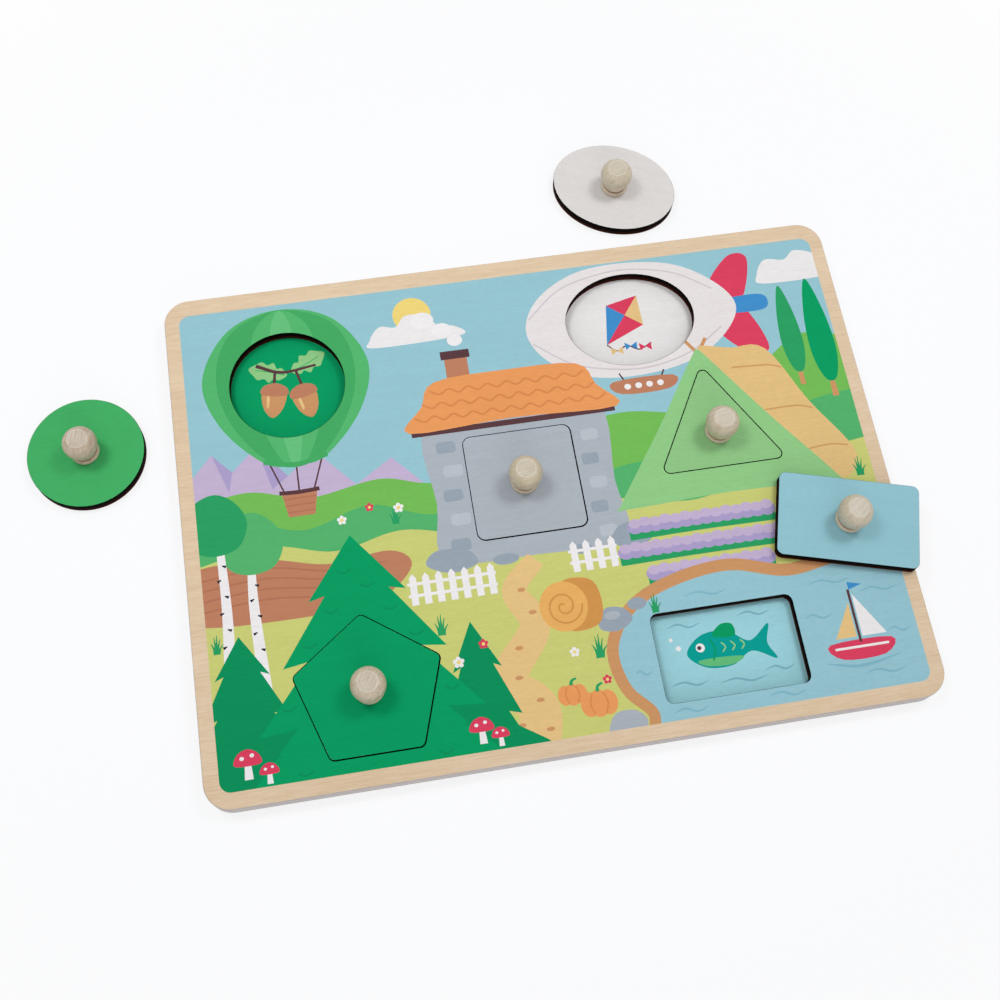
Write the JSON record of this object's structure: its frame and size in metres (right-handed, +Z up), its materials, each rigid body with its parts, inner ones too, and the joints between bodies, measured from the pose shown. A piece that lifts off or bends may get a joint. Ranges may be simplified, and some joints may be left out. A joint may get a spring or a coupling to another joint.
{
  "type": "peg puzzle",
  "caption": "Rectangular two-layer wooden board with shaped cut-outs, and matching knobbed plates that lift in and out of them.",
  "frame": {"origin": "centre of the board's underside", "axes": "+X along the board's length, +Y to its back edge, +Z up out of the printed face"},
  "size_m": [0.3712, 0.2808, 0.0305],
  "materials": {
    "base_plywood": "plain sanded plywood, printed on top",
    "top_plywood": "sanded plywood, printed on top, cut edges dark",
    "circle_paint": "plywood with a thin matt mid green print on top, cut edges dark",
    "oval_paint": "plywood with a thin matt off-white print on top, cut edges dark",
    "triangle_paint": "plywood with a thin matt light green print on top, cut edges dark",
    "square_paint": "plywood with a thin matt grey print on top, cut edges dark",
    "pentagon_paint": "plywood with a thin matt dark green print on top, cut edges dark",
    "rectangle_paint": "plywood with a thin matt light blue print on top, cut edges dark",
    "knob_wood": "turned pale hardwood, satin clear coat",
    "screw_steel": "bright zinc plating"
  },
  "bodies": {
    "board": {"base_board": "base_plywood", "top_board": "top_plywood"},
    "circle_piece": {"circle_plate": "circle_paint", "circle_knob": "knob_wood", "circle_screw": "screw_steel"},
    "oval_piece": {"oval_plate": "oval_paint", "oval_knob": "knob_wood", "oval_screw": "screw_steel"},
    "triangle_piece": {"triangle_plate": "triangle_paint", "triangle_knob": "knob_wood", "triangle_screw": "screw_steel"},
    "square_piece": {"square_plate": "square_paint", "square_knob": "knob_wood", "square_screw": "screw_steel"},
    "pentagon_piece": {"pentagon_plate": "pentagon_paint", "pentagon_knob": "knob_wood", "pentagon_screw": "screw_steel"},
    "rectangle_piece": {"rectangle_plate": "rectangle_paint", "rectangle_knob": "knob_wood", "rectangle_screw": "screw_steel"}
  },
  "joints": [
    {"name": "circle_lift", "type": "slide", "parent": "board", "child": "circle_piece", "axis": [0, 0, 1], "range_m": [0, 0.06]},
    {"name": "oval_lift", "type": "slide", "parent": "board", "child": "oval_piece", "axis": [0, 0, 1], "range_m": [0, 0.06]},
    {"name": "triangle_lift", "type": "slide", "parent": "board", "child": "triangle_piece", "axis": [0, 0, 1], "range_m": [0, 0.06]},
    {"name": "square_lift", "type": "slide", "parent": "board", "child": "square_piece", "axis": [0, 0, 1], "range_m": [0, 0.06]},
    {"name": "pentagon_lift", "type": "slide", "parent": "board", "child": "pentagon_piece", "axis": [0, 0, 1], "range_m": [0, 0.06]},
    {"name": "rectangle_lift", "type": "slide", "parent": "board", "child": "rectangle_piece", "axis": [0, 0, 1], "range_m": [0, 0.06]}
  ]
}
